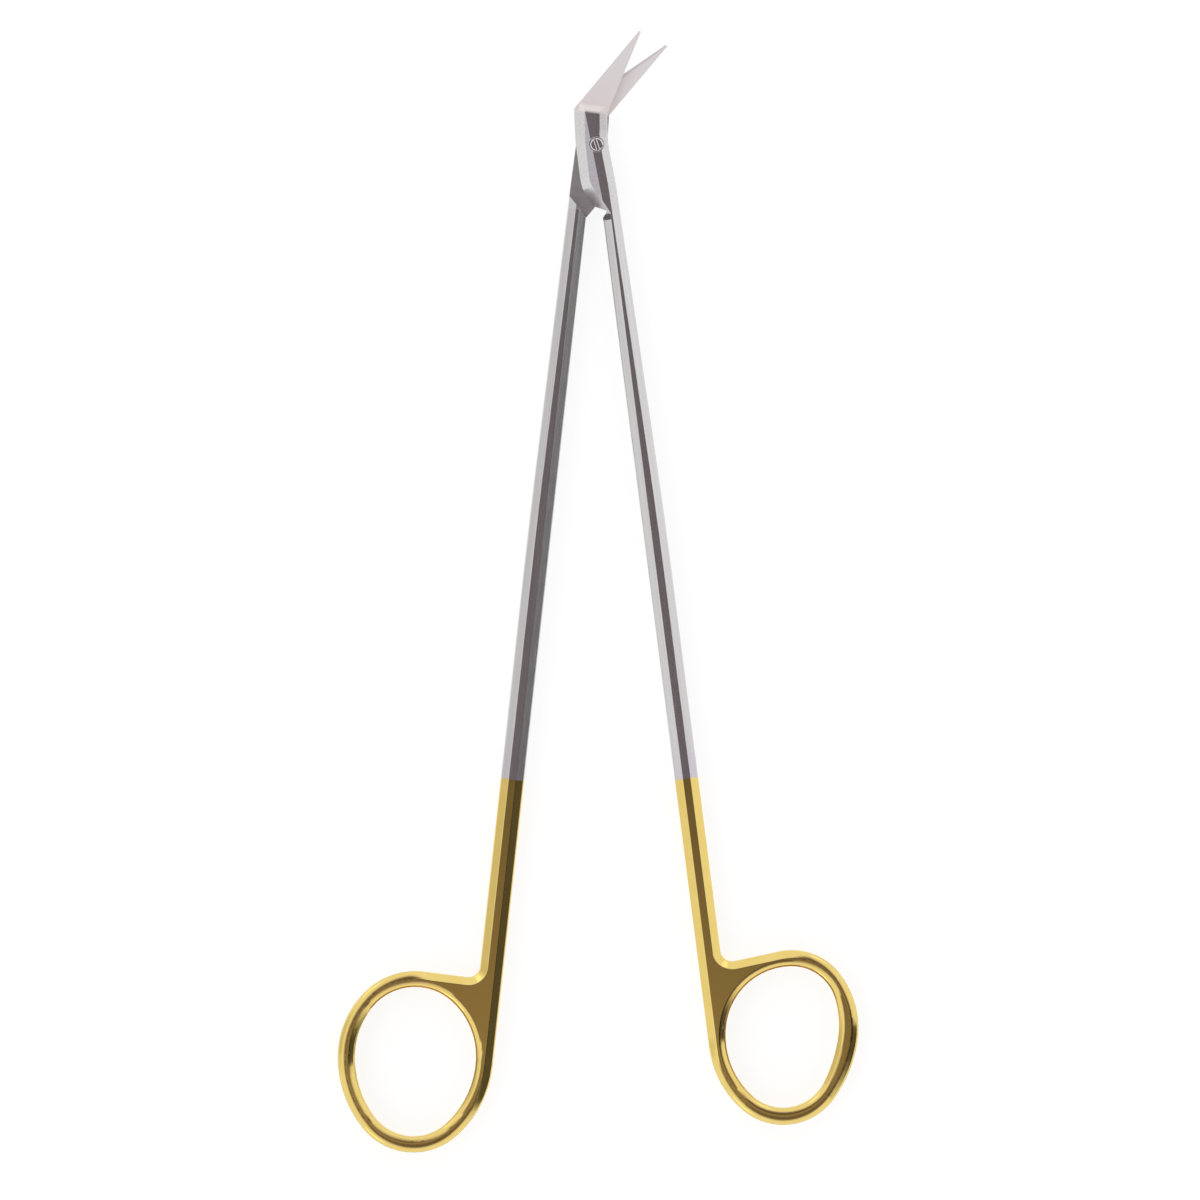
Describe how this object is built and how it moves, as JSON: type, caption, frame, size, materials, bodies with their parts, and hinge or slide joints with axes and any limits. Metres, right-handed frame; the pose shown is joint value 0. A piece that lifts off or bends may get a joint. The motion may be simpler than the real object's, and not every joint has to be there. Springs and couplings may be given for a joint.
{
  "type": "angled vascular scissors",
  "caption": "Long slim surgical scissors with short thin blades bent to the side, a screwed lap joint, straight faceted shanks and gold plated finger rings.",
  "frame": {"origin": "on the pivot axis, in the plane the scissors lie on", "axes": "+Y from the finger rings to the blades, +X to the right as seen from above, +Z along the pivot screw towards its slotted head"},
  "size_m": [0.0883, 0.19, 0.0042],
  "materials": {
    "rear_half": "satin steel, gold plated handle",
    "front_half": "satin steel, gold plated handle",
    "pivot_screw": "satin",
    "front_cutting_insert": "ground hard metal",
    "rear_cutting_insert": "ground hard metal"
  },
  "bodies": {
    "rear_half": {"rear_half": "rear_half", "pivot_screw": "pivot_screw", "rear_cutting_insert": "rear_cutting_insert"},
    "front_half": {"front_half": "front_half", "front_cutting_insert": "front_cutting_insert"}
  },
  "joints": [
    {"name": "pivot", "type": "hinge", "parent": "rear_half", "child": "front_half", "pos_m": [0, 0, 0], "axis": [0, 0, 1], "range_deg": [-13.1, 46.6]}
  ]
}
